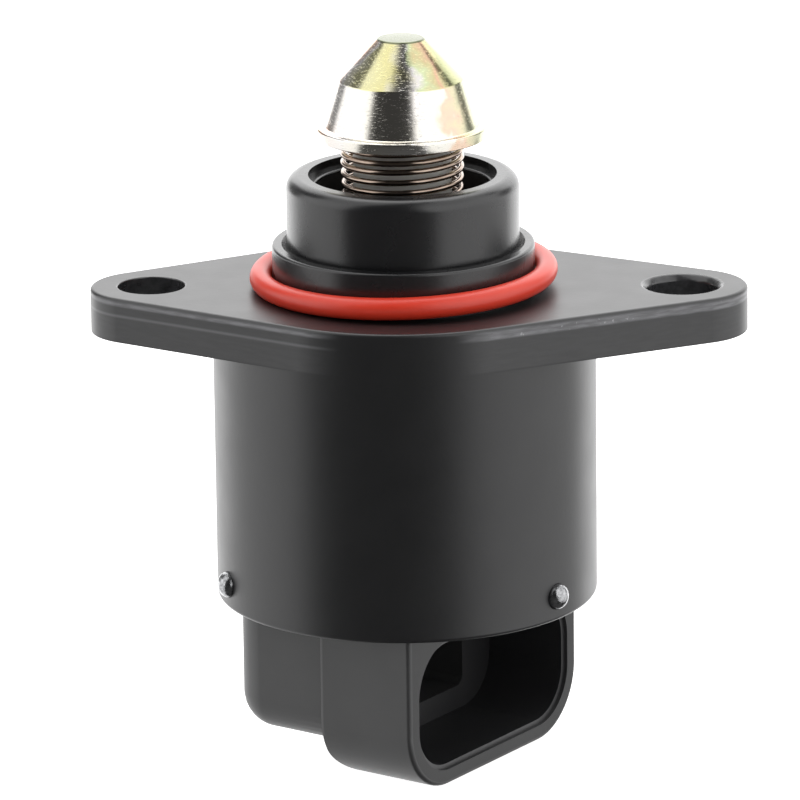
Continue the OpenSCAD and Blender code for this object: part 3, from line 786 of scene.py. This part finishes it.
class TrueNormals:
    """Shading for a faceted copy: flat faces shade flat and turned ones as true rounds about the Z axis."""

    WALL_TILT = 0.02
    BROAD_MM2 = 4.0
    FACET_SHARE = 0.1
    FAN_COSINE = math.cos(math.radians(50))

    def __init__(self, mesh: bpy.types.Mesh) -> None:
        """Finds the faces that meet at each vertex.

        Args:
            mesh: the mesh to shade.
        """
        self.mesh = mesh
        self.faces_at: dict[int, list[bpy.types.MeshPolygon]] = {}
        for face in mesh.polygons:
            for vertex in face.vertices:
                self.faces_at.setdefault(vertex, []).append(face)
        self.turned = [self.is_turned(face) for face in mesh.polygons]

    def is_turned(self, face: bpy.types.MeshPolygon) -> bool:
        """Tells a narrow facet of a surface that is turned about the Z axis.

        Args:
            face: a face of the mesh.

        Returns:
            Whether the face is one.
        """
        out = Vector((face.center.x, face.center.y, 0.0))
        level = Vector((face.normal.x, face.normal.y, 0.0))
        if out.length < MM or level.length < self.WALL_TILT:
            return False
        aside = out.normalized().cross(Vector((0, 0, 1)))
        width = max(abs(aside.dot(self.mesh.vertices[i].co)) for i in face.vertices)
        return width < self.FACET_SHARE * out.length and abs(aside.dot(level.normalized())) < self.WALL_TILT

    def is_broad(self, face: bpy.types.MeshPolygon) -> bool:
        """Says whether a face is level, upright or large, and so no part of a rounded edge."""
        tilt = abs(face.normal.z)
        return tilt > 1 - 1e-4 or tilt < self.WALL_TILT or face.area > self.BROAD_MM2 * MM * MM

    def at_corner(self, face: bpy.types.MeshPolygon, vertex: int) -> Vector:
        """Finds the normal that a face has in truth at one of its vertices.

        Args:
            face: a face of the mesh.
            vertex: the vertex's index.

        Returns:
            The normal.
        """
        if not self.turned[face.index]:
            return face.normal
        at = self.mesh.vertices[vertex].co
        level = math.hypot(face.normal.x, face.normal.y)
        inward = face.normal.x * at.x + face.normal.y * at.y < 0
        out = Vector((at.x, at.y, 0.0)).normalized() * (-level if inward else level)
        return Vector((out.x, out.y, face.normal.z))

    def apply(self) -> None:
        """Sets the normal of every face corner."""
        normals = []
        for face in self.mesh.polygons:
            for vertex in face.vertices:
                around = self.faces_at[vertex]
                fan = [near for near in around if near.normal.dot(face.normal) > self.FAN_COSINE]
                lead = [near for near in fan if self.is_broad(near)] or fan
                total = Vector()
                for near in lead:
                    total += self.at_corner(near, vertex) * near.area
                normals.append(total.normalized())
        self.mesh.normals_split_custom_set(normals)


@dataclass
class EdgeRound:
    """A bevel that softens the edges that a test picks out."""

    width_mm: float
    picks: Callable[[Vector], bool]
    segments: int = 3


def softened(
    node: str,
    rounds: Iterable[EdgeRound],
    sharp_degrees: float = 40,
    ease: Callable[[Vector], float] = lambda at: 1.0,
) -> Piece:
    """Copies a CAD node, with some of its edges rounded, to stand for it.

    Args:
        node: the CAD node's name.
        rounds: the bevels; each test gets the middle of an edge in millimetres.
        sharp_degrees: the angle from which an edge of the copy is shaded sharp.
        ease: gives how far each vertex, in millimetres, is drawn towards the axis, as a share of its radius.

    Returns:
        The copy, which replaces the node.
    """
    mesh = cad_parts[node].data.copy()
    shape = bmesh.new()
    shape.from_mesh(mesh)
    bmesh.ops.remove_doubles(shape, verts=shape.verts, dist=1e-7)
    bmesh.ops.dissolve_limit(
        shape, angle_limit=math.radians(0.2), verts=shape.verts, edges=shape.edges, delimit=set()
    )
    for vertex in shape.verts:
        share = ease(vertex.co / MM)
        vertex.co.x *= share
        vertex.co.y *= share
    for bevel in rounds:
        picked = []
        for edge in shape.edges:
            if len(edge.link_faces) != 2 or edge.calc_face_angle(0) < math.radians(35):
                continue
            middle = (edge.verts[0].co + edge.verts[1].co) / (2 * MM)
            if bevel.picks(middle):
                picked.append(edge)
        bmesh.ops.bevel(
            shape,
            geom=picked,
            offset=bevel.width_mm * MM,
            segments=bevel.segments,
            profile=0.5,
            affect="EDGES",
            clamp_overlap=True,
        )
    shape.to_mesh(mesh)
    shape.free()
    smooth(mesh, sharp_degrees)
    TrueNormals(mesh).apply()
    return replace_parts(new_piece(f"{node}_body", mesh), node)


class NodeShape:
    """A mesh that a geometry node tree makes from named inputs."""

    def __init__(self, name: str, inputs: dict[str, float | int | bpy.types.Material]) -> None:
        """Starts a tree with one group input for each named value.

        Args:
            name: the new piece's name.
            inputs: the shape's values by name.
        """
        self.name = name
        self.inputs = inputs
        self.tree = bpy.data.node_groups.new(name, "GeometryNodeTree")
        kinds = {int: "NodeSocketInt", float: "NodeSocketFloat", bpy.types.Material: "NodeSocketMaterial"}
        for label, value in inputs.items():
            self.tree.interface.new_socket(label, in_out="INPUT", socket_type=kinds[type(value)])
        self.tree.interface.new_socket("Geometry", in_out="OUTPUT", socket_type="NodeSocketGeometry")
        self.given = add_node(self.tree, "NodeGroupInput").outputs

    def add(self, kind: str, inputs: dict | None = None, **settings) -> Node:
        """Adds a node to this shape's tree, as add_node does, and returns it."""
        return add_node(self.tree, kind, inputs, **settings)

    def finished(self, geometry: Socket) -> Piece:
        """Ends the tree, evaluates it and keeps the result as a plain mesh.

        Args:
            geometry: the socket that holds the shape.

        Returns:
            The new piece.
        """
        real = self.add("GeometryNodeRealizeInstances", {0: geometry})
        painted = self.add(
            "GeometryNodeSetMaterial", {"Geometry": real.outputs[0], "Material": self.given["Material"]}
        )
        self.add("NodeGroupOutput", {0: painted.outputs[0]})
        carrier = new_piece(f"{self.name}_carrier", bpy.data.meshes.new(f"{self.name}_carrier"))
        modifier = carrier.modifiers.new(self.name, "NODES")
        modifier.node_group = self.tree
        for item in self.tree.interface.items_tree:
            if item.in_out == "INPUT":
                modifier[item.identifier] = self.inputs[item.name]
        graph = bpy.context.evaluated_depsgraph_get()
        mesh = bpy.data.meshes.new_from_object(carrier.evaluated_get(graph))
        mesh.name = self.name
        bpy.data.objects.remove(carrier)
        smooth(mesh, 50)
        return new_piece(self.name, mesh)


@dataclass
class Pintle:
    """The moving cone with its sleeve and its spring."""

    rim_r: float = 7.1
    rim_t: float = 0.95
    cone_foot_r: float = 6.45
    break_r: float = 5.2
    tip_r: float = 2.0
    lower_cone_h: float = 3.97
    edge_r: float = 0.09
    screw_r: float = 2.52
    screw_press: float = 2.42
    wire: float = 0.5
    end_turns: float = 2.25
    end_pitch: float = 0.74
    turns: float = 12.75
    travel: float = 4.0

    def build_cone(self) -> Piece:
        """Turns the pintle with its edges rounded.

        Returns:
            The cone, which replaces the CAD's.
        """
        low, high = (corner.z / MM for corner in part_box("pintle"))
        r = self.edge_r
        rim_top = low + self.rim_t
        crest = rim_top + self.lower_cone_h
        cone_lean = math.degrees(math.atan2(self.cone_foot_r - self.break_r, self.lower_cone_h))
        tip_lean = math.degrees(math.atan2(self.break_r - self.tip_r, high - crest))
        crest_x = self.break_r - 2 * r
        profile = [(0.0, low + self.screw_press), (self.screw_r, low + self.screw_press), (self.screw_r, low)]
        profile += arc(self.rim_r - r, low + r, r, -90, 0)
        profile += arc(self.rim_r - 2 * r, rim_top - 2 * r, 2 * r, 0, 90)
        profile += [(self.cone_foot_r + r, rim_top + 0.02), (self.cone_foot_r - 0.03, rim_top + r)]
        profile += arc(crest_x, crest - 1.2 * r, 2 * r, cone_lean, tip_lean)
        profile += arc(self.tip_r - 2 * r, high - 2 * r, 2 * r, tip_lean, 90)
        profile.append((0.0, high))
        piece = lathe("pintle_cone", profile, Matrix.Identity(4), 224)
        dress(piece, PASSIVATED)
        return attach(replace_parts(piece, "pintle"), "moving_pintle")

    def build_spring(self) -> Piece:
        """Winds the spring with closer end turns.

        Returns:
            The coil.
        """
        low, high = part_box("pintle_spring")
        length = (high.z - low.z) / MM
        shape = NodeShape(
            "pintle_coil",
            {
                "Radius": (high.x - low.x) / 2 - self.wire * MM / 2,
                "Wire": self.wire * MM,
                "Turns": self.turns,
                "End turns": self.end_turns,
                "End rise": self.end_turns * self.end_pitch * MM,
                "Middle rise": (length - self.wire - 2 * self.end_turns * self.end_pitch) * MM,
                "Bottom": low.z + self.wire * MM / 2,
                "Steps in a turn": 48,
                "Sides": 14,
                "Material": SPRING_WIRE.material(),
            },
        )
        given = shape.given
        count = shape.add(
            "ShaderNodeMath", {0: given["Turns"], 1: given["Steps in a turn"]}, operation="MULTIPLY"
        )
        line = shape.add("GeometryNodeCurvePrimitiveLine")
        points = shape.add("GeometryNodeResampleCurve", {"Curve": line.outputs[0], "Count": count.outputs[0]})
        index = shape.add("GeometryNodeInputIndex")
        turn = shape.add(
            "ShaderNodeMath", {0: index.outputs[0], 1: given["Steps in a turn"]}, operation="DIVIDE"
        )
        last = shape.add("ShaderNodeMath", {0: given["Turns"], 1: given["End turns"]}, operation="SUBTRACT")
        stretches = [
            (0.0, given["End turns"], given["End rise"]),
            (given["End turns"], last.outputs[0], given["Middle rise"]),
            (last.outputs[0], given["Turns"], given["End rise"]),
        ]
        height = given["Bottom"]
        for start, end, rise in stretches:
            ramp = shape.add(
                "ShaderNodeMapRange",
                {"Value": turn.outputs[0], "From Min": start, "From Max": end, "To Max": rise},
            )
            height = shape.add("ShaderNodeMath", {0: height, 1: ramp.outputs[0]}, operation="ADD").outputs[0]
        left = shape.add("ShaderNodeMath", {0: turn.outputs[0], 1: given["Turns"]}, operation="SUBTRACT")
        angle = shape.add("ShaderNodeMath", {0: left.outputs[0], 1: math.tau}, operation="MULTIPLY")
        spot = shape.add("ShaderNodeCombineXYZ", {"X": given["Radius"], "Z": height})
        turned = shape.add(
            "ShaderNodeVectorRotate",
            {"Vector": spot.outputs[0], "Angle": angle.outputs[0]},
            rotation_type="Z_AXIS",
        )
        path = shape.add(
            "GeometryNodeSetPosition", {"Geometry": points.outputs[0], "Position": turned.outputs[0]}
        )
        half = shape.add("ShaderNodeMath", {0: given["Wire"], 1: 0.5}, operation="MULTIPLY")
        section = shape.add(
            "GeometryNodeCurvePrimitiveCircle", {"Radius": half.outputs[0], "Resolution": given["Sides"]}
        )
        wire = shape.add(
            "GeometryNodeCurveToMesh",
            {"Curve": path.outputs[0], "Profile Curve": section.outputs[0], "Fill Caps": True},
        )
        piece = shape.finished(wire.outputs[0])
        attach(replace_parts(piece, "pintle_spring"), "valve_body")
        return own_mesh(piece)


@dataclass
class Housing:
    """The die-cast body with its flange, its O-ring and its three pins."""

    flange_t: float = 3.75
    left_hole_x: float = -21.1
    right_hole_x: float = 23.2
    hole_r: float = 3.6
    mouth_h: float = 0.6
    relief_r: float = 13.3
    relief_depth: float = 0.1
    relief_foot_r: float = 11.6
    bore_r: float = 7.25
    o_ring_section: float = 1.85
    o_ring_tilt: float = 1.3
    body_r: float = 16.0
    pin_r: float = 1.1
    pin_angle: float = -37.0
    pin_z: float = -24.2
    pin_root: float = 12.02
    pin_prouds: tuple[float, ...] = (0.9, 0.7, 0.9)

    def in_hole(self, at: Vector) -> bool:
        """Says whether a place lies at the mouth or on the wall of a screw hole."""
        holes = (self.left_hole_x, self.right_hole_x)
        return any(math.hypot(at.x - x, at.y) < self.hole_r for x in holes)

    def build_casting(self) -> Piece:
        """Rounds the casting's edges.

        Returns:
            The piece that stands for the casting.
        """

        def flange_top(at: Vector) -> bool:
            """Says whether an edge is on the flange's upper outline."""
            outside = math.hypot(at.x, at.y) > self.relief_r + 0.2
            return abs(at.z) < NEAR_MM and outside and not self.in_hole(at)

        def flange_under(at: Vector) -> bool:
            """Says whether an edge is on the flange's lower outline."""
            outside = math.hypot(at.x, at.y) > self.body_r + 0.1
            return abs(at.z + self.flange_t) < NEAR_MM and outside and not self.in_hole(at)

        def hole_mouth(at: Vector) -> bool:
            """Says whether an edge is at the mouth of a screw hole."""
            return self.in_hole(at) and min(abs(at.z), abs(at.z + self.flange_t)) < self.mouth_h

        def slope(at: Vector) -> float:
            """Lays the wall of the O-ring's shallow relief back to a slope.

            Args:
                at: the place in millimetres.

            Returns:
                What the place's distance from the axis is multiplied by.
            """
            at_foot = abs(at.z + self.relief_depth) < 0.01
            on_wall = abs(math.hypot(at.x, at.y) - self.relief_r) < NEAR_MM
            return self.relief_foot_r / self.relief_r if at_foot and on_wall else 1.0

        def in_bore(at: Vector) -> bool:
            """Says whether a place lies in the spigot's bore."""
            return math.hypot(at.x, at.y) < self.bore_r and at.z > NEAR_MM

        rounds = [EdgeRound(0.3, flange_top), EdgeRound(0.25, flange_under), EdgeRound(0.12, hole_mouth, 2)]
        piece = softened("housing", rounds, ease=slope)
        dress(piece, CASTING)
        paint(piece, BORE, in_bore)
        # Painted shade and painted reflections in the screw holes
        paint(piece, HOLE_SHADE_AND_GLINTS, self.in_hole)
        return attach(piece, "valve_body")

    def build_o_ring(self) -> Piece:
        """Sweeps the tilted O-ring.

        Returns:
            The O-ring.
        """
        low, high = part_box("o_ring")
        shape = NodeShape(
            "spigot_o_ring",
            {
                "Radius": (high.y - low.y) / 2 - self.o_ring_section * MM / 2,
                "Section": self.o_ring_section * MM / 2,
                "Height": (high.z + low.z) / 2,
                "Tilt": -math.radians(self.o_ring_tilt),
                "Steps": 256,
                "Sides": 32,
                "Material": SEAL_RUBBER.material(),
            },
        )
        given = shape.given
        path = shape.add(
            "GeometryNodeCurvePrimitiveCircle", {"Radius": given["Radius"], "Resolution": given["Steps"]}
        )
        section = shape.add(
            "GeometryNodeCurvePrimitiveCircle", {"Radius": given["Section"], "Resolution": given["Sides"]}
        )
        swept = shape.add(
            "GeometryNodeCurveToMesh", {"Curve": path.outputs[0], "Profile Curve": section.outputs[0]}
        )
        lift = shape.add("ShaderNodeCombineXYZ", {"Z": given["Height"]})
        lean = shape.add("ShaderNodeCombineXYZ", {"Y": given["Tilt"]})
        laid = shape.add(
            "GeometryNodeTransform",
            {"Geometry": swept.outputs[0], "Translation": lift.outputs[0], "Rotation": lean.outputs[0]},
        )
        piece = shape.finished(laid.outputs[0])
        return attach(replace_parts(piece, "o_ring"), "valve_body")

    def build_pins(self) -> list[Piece]:
        """Turns the three staked pins with domed heads.

        Returns:
            The pins, in the order round the body.
        """
        r = self.pin_r
        pieces = []
        for i, proud in enumerate(self.pin_prouds):
            profile = [(0.0, self.pin_root), (r, self.pin_root)]
            profile += [(r * x, self.body_r + proud * y) for x, y in arc(0, 0, 1, 0, 72, 12)]
            profile.append((0.0, profile[-1][1]))
            turn = Matrix.Rotation(math.radians(self.pin_angle + i * 360 / len(self.pin_prouds)), 4, "Z")
            lay = Matrix.Translation((0, 0, self.pin_z * MM)) @ Matrix.Rotation(math.pi / 2, 4, "Y")
            piece = lathe(f"staked_pin_{i + 1}", profile, turn @ lay, 40)
            dress(piece, STAKED_STEEL)
            pieces.append(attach(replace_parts(piece, f"retaining_pin_{i + 1}"), "valve_body"))
        return pieces


@dataclass
class Connector:
    """The moulded end cap with its socket."""

    body_depth: float = 26.35
    mouth_angle: float = -32.5
    mouth_reach: float = 8.75
    half_w: float = 12.5
    drop: float = 14.0
    corner_r: float = 5.7
    wall: float = 1.75
    heel: float = -0.25

    def build_moulding(self) -> Piece:
        """Rounds the moulding's edges.

        Returns:
            The piece that stands for the moulding.
        """
        turn = Matrix.Rotation(math.radians(-self.mouth_angle), 3, "Z")

        def below(at: Vector) -> bool:
            """Says whether a place is below the body, where the moulding shows."""
            return at.z < -self.body_depth - 0.3

        def at_mouth(at: Vector) -> bool:
            """Says whether a place is in the plane of the socket's mouth."""
            return (turn @ at).x > self.mouth_reach - 0.02

        def inward(at: Vector) -> float:
            """Measures a place against the socket's outline with its round corners.

            Args:
                at: the place in millimetres.

            Returns:
                How far inside the outline it lies, in millimetres.
            """
            _, side, height = turn @ at
            across = max(abs(side) - self.half_w + self.corner_r, 0.0)
            down = max(self.corner_r - self.body_depth - self.drop - height, 0.0)
            return self.corner_r - math.hypot(across, down)

        def outer(at: Vector) -> bool:
            """Says whether an edge is on the socket's outline, at its mouth."""
            return (turn @ at).x > self.mouth_reach - NEAR_MM and inward(at) < 0.3 * self.wall

        def rear(at: Vector) -> bool:
            """Picks out the socket's outline at its heel.

            Args:
                at: the middle of an edge in millimetres.

            Returns:
                Whether the edge is on it.
            """
            out, side, height = turn @ at
            beyond = abs(side) > self.half_w - NEAR_MM or height < NEAR_MM - self.body_depth - self.drop
            return abs(out - self.heel) < NEAR_MM and beyond and below(at)

        def inside(at: Vector) -> bool:
            """Says whether a place lies in the socket's cavity or on its lip."""
            least = 0.2 if at_mouth(at) else self.wall - 0.15
            return (turn @ at).x > self.heel + 0.2 and inward(at) > least

        def on_lip(at: Vector) -> bool:
            """Says whether a place lies on the socket's lip."""
            return inside(at) and at_mouth(at)

        def other(at: Vector) -> bool:
            """Says whether an edge is any other one that shows."""
            return below(at) and not outer(at) and not rear(at)

        rounds = [EdgeRound(0.38, outer, 4), EdgeRound(0.2, rear), EdgeRound(0.12, other, 2)]
        piece = softened("end_cap", rounds)
        dress(piece, MOULDING)
        # Painted shade in the socket's cavity
        paint(piece, SOCKET_SHADE, inside)
        # Painted shade on the socket's lip
        paint(piece, SHADED_SOCKET_LIP, on_lip)
        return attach(piece, "valve_body")


@dataclass(frozen=True)
class View:
    """The photographer's place, in degrees, and the picture's frame, in pixels."""

    azimuth: float = 2.26
    elevation: float = 15.78
    roll: float = -0.72
    focal_px: float = 7164.0
    frame_px: float = 800.0


@dataclass(frozen=True)
class Patch:
    """A round patch of the surround, as the pintle's reflections show it."""

    aim: tuple[float, float, float]
    share: float
    blur: float

    def mask(self, tree: Tree, look: Socket) -> Socket:
        """Tells how far a direction lies inside the patch.

        Args:
            tree: the world's nodes.
            look: the direction looked in.

        Returns:
            A socket that goes from 0 outside to 1 inside. The edge lies where the cosine of the angle
            to the aim is the share, and the blur is half its width.
        """
        near = add_node(
            tree,
            "ShaderNodeVectorMath",
            {0: look, 1: Vector(self.aim).normalized()},
            operation="DOT_PRODUCT",
        )
        return fade(tree, near.outputs["Value"], self.share - self.blur, self.share + self.blur)


@dataclass
class Studio:
    """The camera, the lamp, the pale floor and the white surround, with sizes in metres."""

    view: View = View()
    distance: float = 0.6
    aim_right: float = -0.00044
    aim_up: float = -0.00998
    floor_z: float = -0.0405
    floor_half: float = 3.0
    sensor_mm: float = 36.0
    lamp_at: tuple[float, float, float] = (0.0, 0.25, 0.6)
    lamp_aim: tuple[float, float, float] = (0.0, 0.0, -0.01)
    lamp_size: tuple[float, float] = (0.6, 0.4)
    lamp_watts: float = 1.2
    left_panel: Patch = Patch((-0.656, 0.720, 0.228), 0.138, 0.08)
    right_panel: Patch = Patch((0.927, -0.170, 0.333), 0.586, 0.06)
    dark_cards: tuple[Patch, ...] = (
        Patch((-0.66, 0.70, 0.20), 0.951, 0.021),
        Patch((-0.732, 0.389, 0.559), 0.970, 0.012),
        Patch((0.78, 0.60, 0.20), 0.975, 0.018),
        Patch((0.686, 0.452, 0.566), 0.992, 0.005),
    )
    card_share: float = 0.88
    back_strength: float = 2.2

    def build_camera(self) -> None:
        """Puts the camera where the photograph was taken from."""
        view = self.view
        turn, rise, roll = (math.radians(angle) for angle in (view.azimuth, view.elevation, view.roll))
        back = Vector((math.sin(turn) * math.cos(rise), -math.cos(turn) * math.cos(rise), math.sin(rise)))
        level = Vector((math.cos(turn), math.sin(turn), 0))
        upright = back.cross(level)
        right = math.cos(roll) * level + math.sin(roll) * upright
        up = -math.sin(roll) * level + math.cos(roll) * upright
        data = bpy.data.cameras.new("camera")
        data.sensor_width = self.sensor_mm
        data.lens = self.sensor_mm * view.focal_px / view.frame_px
        data.clip_start = 0.01
        camera = bpy.data.objects.new("camera", data)
        aim = level * self.aim_right + Vector((0, 0, self.aim_up))
        place = Matrix((right, up, back)).transposed().to_4x4()
        place.translation = aim + back * self.distance
        camera.matrix_world = place
        bpy.context.scene.collection.objects.link(camera)
        bpy.context.scene.camera = camera

    def build_lamp(self) -> None:
        """Hangs one soft panel above and behind the valve, facing it."""
        data = bpy.data.lights.new("panel_above", "AREA")
        data.shape = "RECTANGLE"
        data.size, data.size_y = self.lamp_size
        data.energy = self.lamp_watts
        lamp = bpy.data.objects.new("panel_above", data)
        lamp.location = self.lamp_at
        back = Vector(self.lamp_at) - Vector(self.lamp_aim)
        lamp.rotation_euler = back.to_track_quat("Z", "Y").to_euler()
        bpy.context.scene.collection.objects.link(lamp)

    def build_world(self) -> None:
        """Surrounds the valve with white panels at both sides and behind, dark on the camera's side."""
        world = bpy.data.worlds.new("surround")
        bpy.context.scene.world = world
        world.use_nodes = True
        tree = world.node_tree
        tree.nodes.clear()

        def between(share: Socket, low: Socket, high: Socket | float) -> Socket:
            """Goes from a low strength to a high one as the share rises."""
            inputs = {MIX_FACTOR: share, MIX_LOW: low, MIX_HIGH: high}
            return add_node(tree, "ShaderNodeMix", inputs, data_type="FLOAT").outputs[0]

        look = add_node(tree, "ShaderNodeTexCoord").outputs["Generated"]
        split = add_node(tree, "ShaderNodeSeparateXYZ", {0: look})
        up = split.outputs["Z"]
        sides = add_node(
            tree,
            "ShaderNodeMath",
            {0: self.left_panel.mask(tree, look), 1: self.right_panel.mask(tree, look)},
            operation="MAXIMUM",
        )
        panel = times(tree, fade(tree, up, -0.25, 0.2, 1.25, 1.5), fade(tree, up, 0.45, 0.8, 1.0, 0.8))
        dark = fade(tree, up, -0.3, 0.1, 0.08, 0.04)
        lit = between(sides.outputs[0], dark, panel)
        strength = between(fade(tree, split.outputs["Y"], 0.45, 0.75), lit, self.back_strength)
        for card in self.dark_cards:
            hidden = times(tree, card.mask(tree, look), self.card_share)
            left = add_node(tree, "ShaderNodeMath", {0: 1.0, 1: hidden}, operation="SUBTRACT")
            strength = times(tree, strength, left.outputs[0])
        rays = add_node(tree, "ShaderNodeLightPath")
        seen = between(rays.outputs["Is Camera Ray"], strength, 1.0)
        shader = add_node(tree, "ShaderNodeBackground", {"Color": (1, 1, 1, 1), "Strength": seen})
        add_node(tree, "ShaderNodeOutputWorld", {"Surface": shader.outputs[0]})

    def build_floor(self) -> None:
        """Lays the pale floor, which the camera sees as white apart from the valve's shadow."""
        mesh = bpy.data.meshes.new("floor")
        shape = bmesh.new()
        bmesh.ops.create_grid(shape, x_segments=1, y_segments=1, size=self.floor_half)
        bmesh.ops.translate(shape, vec=(0, 0, self.floor_z), verts=shape.verts)
        shape.to_mesh(mesh)
        shape.free()
        floor = new_piece("floor", mesh)
        material = bpy.data.materials.new("pale_floor")
        material.use_nodes = True
        tree = material.node_tree
        tree.nodes.clear()
        rays = add_node(tree, "ShaderNodeLightPath")
        matt = add_node(tree, "ShaderNodeBsdfDiffuse", {"Color": linear("d8d8d8")})
        glow = add_node(
            tree, "ShaderNodeEmission", {"Color": (1, 1, 1, 1), "Strength": rays.outputs["Is Camera Ray"]}
        )
        both = add_node(tree, "ShaderNodeAddShader", {0: matt.outputs[0], 1: glow.outputs[0]})
        add_node(tree, "ShaderNodeOutputMaterial", {"Surface": both.outputs[0]})
        mesh.materials.append(material)
        floor.visible_glossy = False

    def build(self) -> None:
        """Sets up the whole studio."""
        self.build_camera()
        self.build_world()
        self.build_floor()
        self.build_lamp()
        bpy.context.scene.view_settings.view_transform = "Standard"


def main() -> None:
    """Builds the studio and every piece."""
    logging.basicConfig(level=logging.INFO, format="%(name)s: %(message)s")
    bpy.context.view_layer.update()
    Studio().build()
    pintle = Pintle()
    housing = Housing()
    pieces = [pintle.build_cone(), pintle.build_spring(), housing.build_casting(), housing.build_o_ring()]
    pieces += housing.build_pins()
    pieces.append(Connector().build_moulding())
    for finish, nodes in SHOWN_AS_MADE.items():
        pieces += [dress(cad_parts[node], finish) for node in nodes]
    for piece in pieces:
        LOG.info("%s: %d faces", piece.name, len(piece.data.polygons))


if __name__ == "__main__":
    main()
